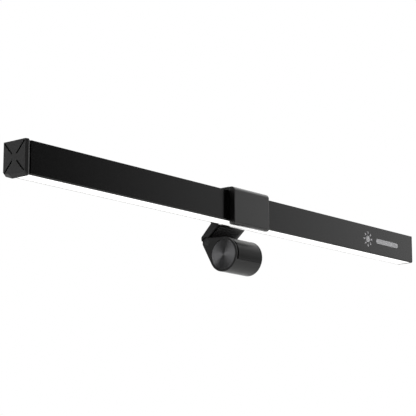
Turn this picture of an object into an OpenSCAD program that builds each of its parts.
// Rectangular LED light bar with a centre sleeve and a sprung, weighted clip for a thin panel's edge.
// Frame: X along the bar, -Y towards the front, +Z up, in millimetres.
// Origin: centre of the rubber pad on the clip's fixed jaw.

/* [Lamp bar] */
// Length over both end caps
bar_l = 450; // [300:10:600]
// Height of the bar
bar_h = 22.6; // [20:0.2:30]
// Depth of the bar, front to back
bar_d = 19.5; // [18:0.5:26]
// Wall thickness of the extrusion
wall = 1.2; // [1:0.1:1.6]
// Length of the left end cap
cap_l = 4.6; // [3.6:0.2:8]
// Thickness of the right end plate
end_plate_t = 1.4; // [1.2:0.1:3]
// Depth of the light-emitting strip's flat underside
flat_d = 14; // [13.4:0.1:15]

/* [Light source] */
// Number of LEDs on the board
led_count = 60; // [20:1:80]
// Width of the LED board
board_w = 10; // [8:0.5:11]

/* [Sleeve] */
// Width of the centre sleeve
sleeve_w = 40.8; // [36:0.2:60]
// Thickness of the sleeve's front wall
fascia_t = 5.4; // [4:0.2:7]
// Thickness of the sleeve's top wall
crown_t = 2.55; // [2.5:0.05:3.5]
// Thickness of the sleeve's rear wall
rear_t = 3; // [3:0.1:4]
// How far the fascia hangs below the bar
lip_drop = 3; // [2:0.2:4]

/* [Clip] */
// Width of the fixed jaw
jaw_w = 31; // [29:0.5:36]
// Slope of the fixed jaw below horizontal
jaw_slope = 40; // [35:1:45]
// Width over the arm's two cheeks
arm_w = 30; // [28:0.5:34]
// Outer radius of the weighted drum and its cradle
drum_r = 12.9; // [12.5:0.1:14]
// Radius of the steel weight
weight_r = 10.4; // [9:0.1:10.6]
// Radius of the brushed end discs
disc_r = 11.2; // [10.5:0.1:11.4]

/* [Pins] */
// Radius of the tilt pin and of the arm pin
pin_r = 1.5; // [1.2:0.1:1.6]
// Radial clearance of both pins in their bores
pin_gap = 0.05; // [0.03:0.01:0.1]

/* [Hidden] */
$fn = 64;
fine = 96;
eps = 0.05;
fit = 0.1;

// Bar position: its front lower edge in the part's frame
lamp_y = -19.1;
lamp_z = 5.2;
bevel = 0.8;
rear_rise = 2;
ridge_x = 2.65;
ridge_out = 0.55;
ridge_low = 1.1;
cap_back_in = 0.3;
cap_back_low = 0.4;
neck_l = 0.8;
neck_in = 0.9;
face_out = 0.4;
face_in_low = 1.1;
groove_w = 1.1;
groove_deep = 1.2;
plate_groove_deep = 0.5;
groove_from = 0.21;
groove_to = 0.9;
plug_l = 8;
body_in = cap_l + neck_l;
body_x0 = body_in - bar_l / 2;
body_x1 = bar_l / 2 - end_plate_t;
board_in = 4;

// Inside of the extrusion, heights above the bar's underside
pane_front = 1.4;
pane_top = 2.25;
rail_top = 3.6;
rail_in = 2.9;
web_z = 10;
web_t = 1.2;
duct_z = web_z + web_t;
led_l = 3.5;
led_w = 2.8;
led_t = 0.8;
led_board_t = 1;
led_board_y = 9.7;

// Driver, socket and saddle fixings inside the bar
driver_l = 58;
driver_z = 12.3;
driver_t = 1;
socket_x = -11.5;
socket_w = 8.94;
socket_h = 3.26;
socket_l = 7.35;
tongue_w = 6.6;
tongue_t = 0.7;
screw_x = 11.5;
screw_z = 19.7;
screw_r = 1.25;
head_r = 2.1;
head_t = 1.2;
socket_hex_r = 0.85;
screw_l = 5.6;
plate_t = 1.6;

// Sleeve
crown_r = 3.4;
lip_r = 2;
lip_back_r = 1.4;
seam_y = -0.15;
panel_w = 26;
panel_d = 9;
panel_t = 0.8;
panel_y = 9.7;
touch_t = 0.8;
tab_x = 13;
tab_w = 6;
tab_l = 5;
tab_t = 1;
tab_z = bar_h + 0.2;
saddle_back = bar_d + 0.15 + rear_t;
crown_z = bar_h + 0.15 + crown_t;
saddle_low = 2.6;

// Tilt hinge, in the part's frame
tilt_y = 7.3;
tilt_z = 13.2;
tilt_head_r = 2.6;
tilt_nut_r = 2.9;
tilt_nut_t = 2;
hex_r = 1.2;
knuckle_r = 3.3;
lug_half = 4.2;
washer_t = 0.5;
washer_r = 2.9;
washer_gap = 0.05;
ear_in = lug_half + washer_t + 2 * washer_gap;
ear_t = 3.4;
ear_out = ear_in + ear_t;
ear_foot = [4.7, 3.6];
ear_foot_r = 1;

// Arm hinge, jaw and arm, in the part's frame
arm_y = 7.3;
arm_z = -7.7;
drum_y = -9;
drum_z = -17.9;
barrel_r = 3.6;
notch_r = 4.3;
nose = [9.85, -3.9];
nose_r = 1.9;
nose_tip = [10.5, -5.9];
nose_tip_r = 0.9;
jaw_s0 = -6.8;
jaw_s1 = 12;
jaw_top = [1.75, 6.96];
lug_in = 8.5;
cheek_t = 1;
cheek_in = arm_w / 2 - cheek_t;
lug_out = cheek_in - 0.3;
arm_head_r = 2.6;
arm_head_t = 0.5;
arm_clip_r = 2.6;
drum_gap = 1.5;
disc_t_left = 2.3;
disc_t_right = 0.8;
shell_t = 1.9;
shell_front = 201;
shell_back = 350;
grip_in = 0.1;
grip_gap = 0.4;
back_wall_t = 3.4;
back_wall_l = 14;
back_wall_lean = -33;
pad_t = 1.2;
pad_proud = 0.4;
pad_half = 12.6;
pad_s0 = -5.1;
pad_s1 = 5.1;
spring_r = 2.7;
spring_wire = 0.45;
spring_turns = 8;
spring_half = 6.8;
spring_start = 120;
spring_sides = 8;
spring_steps = 16;
spring_rings = spring_turns * spring_steps;

// Children in the bar's own frame: X from the bar's centre, Y from its front face, Z from its underside
module in_lamp() { translate([0, lamp_y, lamp_z]) children(); }

// A 2D outline in (Y, Z), extruded along X from x0 to x1
module along_x(x0, x1) { translate([x0, 0, 0]) rotate([90, 0, 90]) linear_extrude(x1 - x0) children(); }

// A round bar along X from x0 to x1, centred on (y, z)
module rod_x(x0, x1, y, z, r) { translate([x0, y, z]) rotate([0, 90, 0]) cylinder(h = x1 - x0, r = r); }

// A round bar along Y from y0 to y1, centred on (x, z)
module rod_y(y0, y1, x, z, r) { translate([x, y0, z]) rotate([-90, 0, 0]) cylinder(h = y1 - y0, r = r); }

// A block given by its two opposite corners
module block(a, b) { translate(a) cube(b - a); }

// A 2D outline in (Y, Z), extruded along X from x0 to x1 on the right and mirrored on the left
module on_both(x0, x1) {
    along_x(x0, x1) children();
    along_x(-x1, -x0) children();
}

// The bar's outline, grown by the given amounts at the front, rear, bottom and top
function bar_outline(f, r, b, t) = [
    [bevel - f, -b], [-f, bevel - b], [-f, bar_h + t], [bar_d + r, bar_h + t], [bar_d + r, rear_rise - b],
    [flat_d, -b]];

// ---- Lamp bar ----

module bar_housing() {
    color("#1c1c1e")
    in_lamp() difference() {
        along_x(body_x0, body_x1) difference() {
            polygon(bar_outline(0, 0, 0, 0));
            translate([wall, rail_top]) square([bar_d - 2 * wall, web_z - rail_top]);
            translate([wall, duct_z]) square([bar_d - 2 * wall, bar_h - wall - duct_z]);
            translate([pane_front, -1]) square([flat_d + eps - pane_front, 1 + pane_top]);
            translate([rail_in, 0]) square([flat_d - pane_front - rail_in, rail_top + eps]);
        }
        for (s = [-1, 1]) rod_y(bar_d - wall - 1, bar_d + 1, s * screw_x, screw_z, screw_r + fit);
        block([socket_x - socket_w / 2 - 0.3, bar_d - wall - 1, driver_z + driver_t - 0.3],
              [socket_x + socket_w / 2 + 0.3, bar_d + 1, driver_z + driver_t + socket_h + 0.3]);
    }
}

// Four straight grooves in a cap's face at x = 0, from near each corner towards the centre
module cap_grooves(deep) {
    half_y = bar_d / 2 + face_out;
    half_z = (bar_h + face_out - face_in_low) / 2;
    reach = norm([half_y, half_z]);
    translate([0, bar_d / 2, (bar_h + face_out + face_in_low) / 2])
        for (sy = [-1, 1], sz = [-1, 1])
            rotate([atan2(sz * half_z, sy * half_y), 0, 0])
                block([-1, reach * groove_from, -groove_w / 2], [deep, reach * groove_to, groove_w / 2]);
}

// The part of a cap that plugs into the bar's upper duct, which starts at x
module cap_plug(x) {
    along_x(x - eps, x + plug_l) translate([wall + fit, duct_z + fit])
        square([bar_d - 2 * wall - 2 * fit, bar_h - wall - duct_z - 2 * fit]);
}

// A thin slice of the cap at x, grown by out, and by low at its underside
module cap_slice(x, out, low) { along_x(x, x + 0.1) polygon(bar_outline(out, out, low, out)); }

// The left cap swells from its face to a ridge, then draws in to a neck
module end_cap_left() {
    color("#2b2b2d")
    in_lamp() translate([-bar_l / 2, 0, 0]) {
        difference() {
            union() {
                hull() {
                    cap_slice(0, face_out, -face_in_low);
                    cap_slice(ridge_x, ridge_out, ridge_low);
                }
                hull() {
                    cap_slice(ridge_x, ridge_out, ridge_low);
                    cap_slice(cap_l - 0.1, -cap_back_in, cap_back_low);
                }
            }
            cap_grooves(groove_deep);
        }
        along_x(cap_l - eps, body_in) polygon(bar_outline(-neck_in, -neck_in, -neck_in, -neck_in));
        cap_plug(body_in);
    }
}

// The right end is closed by a thin plate, flush with the bar
module end_cap_right() {
    color("#2b2b2d")
    in_lamp() mirror([1, 0, 0]) translate([-bar_l / 2, 0, 0]) {
        difference() {
            along_x(0, end_plate_t) polygon(bar_outline(0, 0, 0, 0));
            cap_grooves(plate_groove_deep);
        }
        cap_plug(end_plate_t);
    }
}

module diffuser() {
    leg = 1;
    barb = 0.5;
    barb_z = rail_top + fit;
    leg_top = rail_top + 1.2;
    front_leg = rail_in + fit;
    rear_leg = flat_d - pane_front - fit;
    color("#f6f6f2")
    in_lamp() along_x(body_x0 + fit, body_x1 - fit) {
        translate([pane_front + fit, 0.2]) square([flat_d - pane_front - fit, pane_top - 0.2 - fit]);
        translate([front_leg, 1]) square([leg, leg_top - 1]);
        translate([rear_leg - leg, 1]) square([leg, leg_top - 1]);
        polygon([[front_leg - barb, barb_z], [front_leg + leg, barb_z], [front_leg + leg, leg_top],
                 [front_leg, leg_top]]);
        polygon([[rear_leg + barb, barb_z], [rear_leg - leg, barb_z], [rear_leg - leg, leg_top],
                 [rear_leg, leg_top]]);
    }
}

module led_board() {
    color("#e8e8e4")
    in_lamp() block([body_x0 + board_in, led_board_y - board_w / 2, web_z - led_board_t - eps],
                    [body_x1 - board_in, led_board_y + board_w / 2, web_z - eps]);
}

module leds() {
    first = body_x0 + board_in + led_l;
    pitch = (body_x1 - board_in - led_l - first) / (led_count - 1);
    color("#f2e27a")
    in_lamp() for (i = [0:led_count - 1])
        translate([first + i * pitch, led_board_y, web_z - led_board_t - eps - led_t / 2])
            cube([led_l, led_w, led_t], center = true);
}

// White liner that guides the light from the board down to the diffuser
module reflector() {
    liner = 0.6;
    top_z = web_z - led_board_t - 2 * eps;
    low_z = rail_top + 1.5;
    color("#fafafa")
    in_lamp() along_x(body_x0 + board_in, body_x1 - board_in) {
        polygon([[led_board_y - 3.6, top_z], [led_board_y - 3, top_z], [wall + 0.9 + liner, low_z],
                 [wall + 0.9, low_z]]);
        polygon([[led_board_y + 3, top_z], [led_board_y + 3.6, top_z], [flat_d + 2.6 + liner, low_z],
                 [flat_d + 2.6, low_z]]);
    }
}

module driver_board() {
    color("#1f5c3a")
    in_lamp() block([-driver_l / 2, wall + 0.8, driver_z],
                    [driver_l / 2, bar_d - wall - 0.3, driver_z + driver_t]);
}

// Inductor, chip and two capacitors on the driver board
module driver_parts() {
    inductor = [6, 6, 3];
    chip = [5, 4, 1.2];
    color("#3a3a3c")
    in_lamp() translate([0, 7, driver_z + driver_t]) {
        translate([6, -inductor[1] / 2, 0]) cube(inductor);
        translate([-3, -chip[1] / 2, 0]) cube(chip);
        for (x = [18, 24]) translate([x, 0, 0]) cylinder(h = 5, r = 2);
    }
}

// USB-C receptacle: a drawn shell with a centre tongue, opening to the rear
module usb_socket() {
    shell = 0.3;
    mid_z = driver_z + driver_t + socket_h / 2;
    y1 = saddle_back - 0.4;
    color("#b9bcc0")
    in_lamp() translate([socket_x, 0, mid_z]) {
        difference() {
            stadium_y(y1 - socket_l, y1, socket_w, socket_h);
            stadium_y(y1 - socket_l + 1, y1 + 1, socket_w - 2 * shell, socket_h - 2 * shell);
        }
        block([-tongue_w / 2, y1 - socket_l + 0.5, -tongue_t / 2], [tongue_w / 2, y1 - 0.8, tongue_t / 2]);
    }
}

// A flat round-ended bar along Y, w wide and h high
module stadium_y(y0, y1, w, h) {
    for (s = [-1, 1]) rod_y(y0, y1, s * (w - h) / 2, 0, h / 2);
    block([-(w - h) / 2, y0, -h / 2], [(w - h) / 2, y1, h / 2]);
}

module nut_plate() {
    color("#9a9da1")
    in_lamp() difference() {
        block([-screw_x - 4, bar_d - wall - plate_t - eps, screw_z - 1.9],
              [screw_x + 4, bar_d - wall - eps, screw_z + 1.6]);
        for (s = [-1, 1]) rod_y(bar_d - wall - plate_t - 1, bar_d, s * screw_x, screw_z, screw_r);
    }
}

// ---- Sleeve ----

// Rear and top wall of the sleeve, with the tilt hinge's centre lug
module saddle() {
    y_pin = tilt_y - lamp_y;
    z_pin = tilt_z - lamp_z;
    color("#2a2a2c")
    in_lamp() difference() {
        union() {
            along_x(-sleeve_w / 2, sleeve_w / 2) {
                translate([bar_d + 0.15, saddle_low]) square([rear_t, crown_z - crown_r - saddle_low]);
                translate([seam_y, bar_h + 0.15]) square([saddle_back - crown_r - seam_y, crown_t]);
                difference() {
                    translate([saddle_back - crown_r, crown_z - crown_r]) intersection() {
                        circle(r = crown_r);
                        square(crown_r);
                    }
                    square([bar_d + 0.15, bar_h + 0.15]);
                }
            }
            along_x(-lug_half, lug_half) {
                translate([y_pin, z_pin]) circle(r = knuckle_r);
                translate([saddle_back - eps, z_pin - knuckle_r])
                    square([y_pin - saddle_back, 2 * knuckle_r]);
            }
        }
        rod_x(-lug_half - 1, lug_half + 1, y_pin, z_pin, pin_r + pin_gap);
        block([-panel_w / 2 - fit, panel_y - panel_d / 2 - fit, crown_z - panel_t - touch_t],
              [panel_w / 2 + fit, panel_y + panel_d / 2 + fit, crown_z + 1]);
        for (s = [-1, 1]) {
            rod_y(bar_d, saddle_back + 1, s * screw_x, screw_z, screw_r + fit);
            rod_y(saddle_back - head_t, saddle_back + 1, s * screw_x, screw_z, head_r + fit);
            block([s * tab_x - tab_w / 2 - fit, seam_y - 1, bar_h],
                  [s * tab_x + tab_w / 2 + fit, tab_l + 0.4, tab_z + tab_t + fit]);
        }
        translate([socket_x, 0, driver_z + driver_t + socket_h / 2])
            stadium_y(bar_d, saddle_back + 1, socket_w + 0.4, socket_h + 0.4);
    }
}

module saddle_screws() {
    color("#77797c")
    in_lamp() for (s = [-1, 1]) difference() {
        union() {
            rod_y(saddle_back - screw_l, saddle_back - head_t, s * screw_x, screw_z, screw_r);
            rod_y(saddle_back - head_t, saddle_back - 0.2, s * screw_x, screw_z, head_r);
        }
        translate([s * screw_x, saddle_back - 0.9, screw_z]) rotate([-90, 0, 0])
            cylinder(h = 1, r = socket_hex_r, $fn = 6);
    }
}

// Front wall of the sleeve: rounded top edge, rounded hanging lip, two tabs under the saddle's top wall
module fascia() {
    color("#2d2d2f")
    in_lamp() {
        along_x(-sleeve_w / 2, sleeve_w / 2) union() {
            translate([-fascia_t, -lip_drop + lip_r])
                square([fascia_t + seam_y, crown_z - crown_r + lip_drop - lip_r]);
            translate([-fascia_t + crown_r, crown_z - crown_r - eps])
                square([fascia_t - crown_r + seam_y, crown_r + eps]);
            translate([-fascia_t + crown_r, crown_z - crown_r]) intersection() {
                circle(r = crown_r);
                translate([-crown_r, -eps]) square([crown_r + eps, crown_r + eps]);
            }
            translate([-fascia_t + lip_r, -lip_drop + lip_r]) circle(r = lip_r);
            translate([seam_y - lip_back_r, -lip_drop + lip_back_r]) circle(r = lip_back_r);
            translate([-fascia_t + lip_r, -lip_drop])
                square([fascia_t + seam_y - lip_r - lip_back_r, lip_r + eps]);
            translate([-fascia_t + lip_r, -lip_drop + lip_back_r])
                square([fascia_t + seam_y - lip_r, lip_r - lip_back_r + eps]);
        }
        for (s = [-1, 1])
            block([s * tab_x - tab_w / 2, seam_y - 1, tab_z], [s * tab_x + tab_w / 2, tab_l, tab_z + tab_t]);
    }
}

module touch_panel() {
    color("#101012")
    in_lamp() block([-panel_w / 2, panel_y - panel_d / 2, crown_z - panel_t],
                    [panel_w / 2, panel_y + panel_d / 2, crown_z - 0.05]);
}

module touch_board() {
    color("#1f5c3a")
    in_lamp() block([-panel_w / 2 + 0.5, panel_y - panel_d / 2 + 0.4, crown_z - panel_t - touch_t],
                    [panel_w / 2 - 0.5, panel_y + panel_d / 2 - 0.4, crown_z - panel_t - eps]);
}

// ---- Tilt hinge ----

module tilt_washers() {
    color("#a0a3a6")
    for (x0 = [-lug_half - washer_gap - washer_t, lug_half + washer_gap]) difference() {
        rod_x(x0, x0 + washer_t, tilt_y, tilt_z, washer_r);
        rod_x(-ear_out, ear_out, tilt_y, tilt_z, pin_r + pin_gap);
    }
}

module tilt_pin() {
    color("#8c8f93")
    difference() {
        union() {
            rod_x(-ear_out - 0.1, ear_out + 2.4, tilt_y, tilt_z, pin_r);
            rod_x(-ear_out - 1.5, -ear_out - 0.1, tilt_y, tilt_z, tilt_head_r);
        }
        translate([-ear_out - 1.6, tilt_y, tilt_z]) rotate([0, 90, 0]) cylinder(h = 1, r = hex_r, $fn = 6);
    }
}

module tilt_nut() {
    color("#8c8f93")
    difference() {
        translate([ear_out + 0.1, tilt_y, tilt_z]) rotate([0, 90, 0])
            cylinder(h = tilt_nut_t, r = tilt_nut_r, $fn = 6);
        rod_x(ear_out, ear_out + tilt_nut_t + 1, tilt_y, tilt_z, pin_r);
    }
}

// ---- Clip ----

// A point s along the jaw's face from the origin, and n behind it
function on_jaw(s, n) = [s * cos(jaw_slope) + n * sin(jaw_slope), -s * sin(jaw_slope) + n * cos(jaw_slope)];

// Side outline of the fixed jaw; its rounded nose curls round the arm hinge
module jaw_outline() {
    difference() {
        union() {
            polygon([on_jaw(jaw_s0, pad_proud), jaw_top, nose + nose_r * [cos(45), sin(45)], nose_tip,
                     on_jaw(jaw_s1, pad_proud)]);
            hull() {
                translate(nose) circle(r = nose_r, $fn = 32);
                translate(nose_tip) circle(r = nose_tip_r, $fn = 24);
            }
        }
        translate([arm_y, arm_z]) circle(r = notch_r);
    }
}

// Side outline of a lug for the arm pin: a barrel on a root that runs up into the jaw
module lug_outline() {
    hinge = [arm_y, arm_z];
    translate(hinge) circle(r = barrel_r);
    polygon([on_jaw(jaw_s1 / 2, pad_proud), hinge + [2.4, 4.2], hinge + [3.4, 0], hinge + [-3.2, -1.4]]);
}

// Side outline of a tilt ear: a knuckle on a root that runs down into the jaw
module ear_outline() {
    hull() {
        translate([tilt_y, tilt_z]) circle(r = knuckle_r, $fn = 48);
        translate(ear_foot) circle(r = ear_foot_r, $fn = 24);
    }
    polygon([ear_foot + [-1, 0.2], ear_foot + [1, 0.2], ear_foot + [3.2, -4], ear_foot + [-1.2, -1]]);
}

module jaw_bracket() {
    color("#262628")
    difference() {
        union() {
            along_x(-jaw_w / 2, jaw_w / 2) jaw_outline();
            on_both(lug_in, lug_out) lug_outline();
            on_both(ear_in, ear_out) ear_outline();
        }
        rod_x(-jaw_w, jaw_w, arm_y, arm_z, pin_r + pin_gap);
        rod_x(-jaw_w, jaw_w, tilt_y, tilt_z, pin_r + pin_gap);
        rotate([-jaw_slope, 0, 0]) block([-pad_half - fit, pad_s0 - fit, -1],
                                         [pad_half + fit, pad_s1 + fit, pad_t]);
    }
}

module jaw_pad() {
    color("#151516")
    rotate([-jaw_slope, 0, 0]) block([-pad_half, pad_s0, 0], [pad_half, pad_s1, pad_t - eps]);
}

module arm_pin() {
    color("#8c8f93") {
        rod_x(-arm_w / 2 + arm_head_t, arm_w / 2 + 1.2, arm_y, arm_z, pin_r);
        rod_x(-arm_w / 2 + eps, -arm_w / 2 + arm_head_t, arm_y, arm_z, arm_head_r);
    }
}

module arm_pin_clip() {
    color("#6f7276")
    difference() {
        rod_x(arm_w / 2 + 0.1, arm_w / 2 + 0.7, arm_y, arm_z, arm_clip_r);
        rod_x(arm_w / 2, arm_w / 2 + 1, arm_y, arm_z, pin_r);
    }
}

// A helix of round wire, wound round the arm pin
function spring_angle(i) = spring_start + 360 * i / spring_steps;

function spring_point(i) =
    let (a = spring_angle(i))
    [spring_half * (2 * i / spring_rings - 1), arm_y + spring_r * cos(a), arm_z + spring_r * sin(a)];

function spring_ring(i) =
    let (a = spring_angle(i), c = spring_point(i))
    [for (k = [0:spring_sides - 1])
        let (b = 360 * k / spring_sides)
        c + [spring_wire * cos(b), spring_wire * sin(b) * cos(a), spring_wire * sin(b) * sin(a)]];

module torsion_spring() {
    rings = [for (i = [0:spring_rings]) each spring_ring(i)];
    walls = [for (i = [0:spring_rings - 1], k = [0:spring_sides - 1])
        let (a = i * spring_sides, b = (k + 1) % spring_sides)
        [a + k, a + b, a + b + spring_sides, a + k + spring_sides]];
    first = [for (k = [spring_sides - 1:-1:0]) k];
    last = [for (k = [0:spring_sides - 1]) spring_rings * spring_sides + k];
    color("#b4b7ba")
    polyhedron(points = rings, faces = concat(walls, [first, last]), convexity = 10);
}

// ---- Weighted arm ----

// Tangent hull of the hinge end and the drum end: the cheek's teardrop
module cheek_outline() {
    gap = [drum_y - arm_y, drum_z - arm_z];
    dist = norm(gap);
    lean = atan2(gap[1], gap[0]);
    spread = acos((drum_r - barrel_r) / dist);
    hinge = [arm_y, arm_z];
    drum = [drum_y, drum_z];
    translate(hinge) circle(r = barrel_r, $fn = fine);
    translate(drum) circle(r = drum_r, $fn = fine);
    polygon([for (e = [[hinge, barrel_r, 1], [drum, drum_r, 1], [drum, drum_r, -1], [hinge, barrel_r, -1]])
        e[0] + e[1] * [cos(lean + 180 + e[2] * spread), sin(lean + 180 + e[2] * spread)]]);
}

// A sector of a ring round the drum's axis, between two angles
module drum_sector(r_in, r_out, a0, a1) {
    fan = [for (i = [0:8]) let (a = a0 + (a1 - a0) * i / 8) 2 * r_out * [cos(a), sin(a)]];
    translate([drum_y, drum_z]) difference() {
        intersection() {
            circle(r = r_out, $fn = fine);
            polygon(concat([[0, 0]], fan));
        }
        circle(r = r_in, $fn = fine);
    }
}

// Wall along the arm's lower edge, from the drum's cradle up to the hinge, clear of the weight and its grip
module back_wall_outline() {
    difference() {
        intersection() {
            cheek_outline();
            translate([drum_y, drum_z]) rotate(back_wall_lean)
                translate([drum_r - back_wall_t, -1]) square([back_wall_t, back_wall_l]);
        }
        translate([drum_y, drum_z]) circle(r = drum_r - shell_t, $fn = fine);
        drum_sector(1, drum_r - grip_in + fit, shell_back - 360, shell_front);
    }
}

module arm_cradle() {
    color("#2c2c2e")
    difference() {
        union() {
            on_both(cheek_in, arm_w / 2) cheek_outline();
            along_x(-cheek_in - eps, cheek_in + eps) {
                drum_sector(drum_r - shell_t, drum_r, shell_front, shell_back);
                back_wall_outline();
            }
        }
        rod_x(-arm_w, arm_w, arm_y, arm_z, pin_r + pin_gap);
        rod_x(-arm_w, -arm_w / 2 + arm_head_t + eps, arm_y, arm_z, arm_head_r + fit);
        rod_x(-arm_w, arm_w, drum_y, drum_z, disc_r + fit);
    }
}

module weight_core() {
    color("#5a5c5f")
    rod_x(-cheek_in + drum_gap + 0.1, cheek_in - 0.5, drum_y, drum_z, weight_r);
}

module grip_shell() {
    color("#1d1d1f")
    along_x(-cheek_in + drum_gap, cheek_in - 0.1)
        drum_sector(weight_r + eps, drum_r - grip_in, shell_back - 360 + grip_gap, shell_front - grip_gap);
}

module end_disc_left() {
    color("#4a4a4c") rod_x(-arm_w / 2 + fit, -arm_w / 2 + fit + disc_t_left, drum_y, drum_z, disc_r);
}

module end_disc_right() {
    color("#4a4a4c") rod_x(arm_w / 2 - fit - disc_t_right, arm_w / 2 - fit, drum_y, drum_z, disc_r);
}

bar_housing();
end_cap_left();
end_cap_right();
diffuser();
led_board();
leds();
reflector();
driver_board();
driver_parts();
usb_socket();
nut_plate();
saddle();
saddle_screws();
fascia();
touch_panel();
touch_board();
tilt_washers();
tilt_pin();
tilt_nut();
jaw_bracket();
jaw_pad();
arm_pin();
arm_pin_clip();
torsion_spring();
arm_cradle();
weight_core();
grip_shell();
end_disc_left();
end_disc_right();
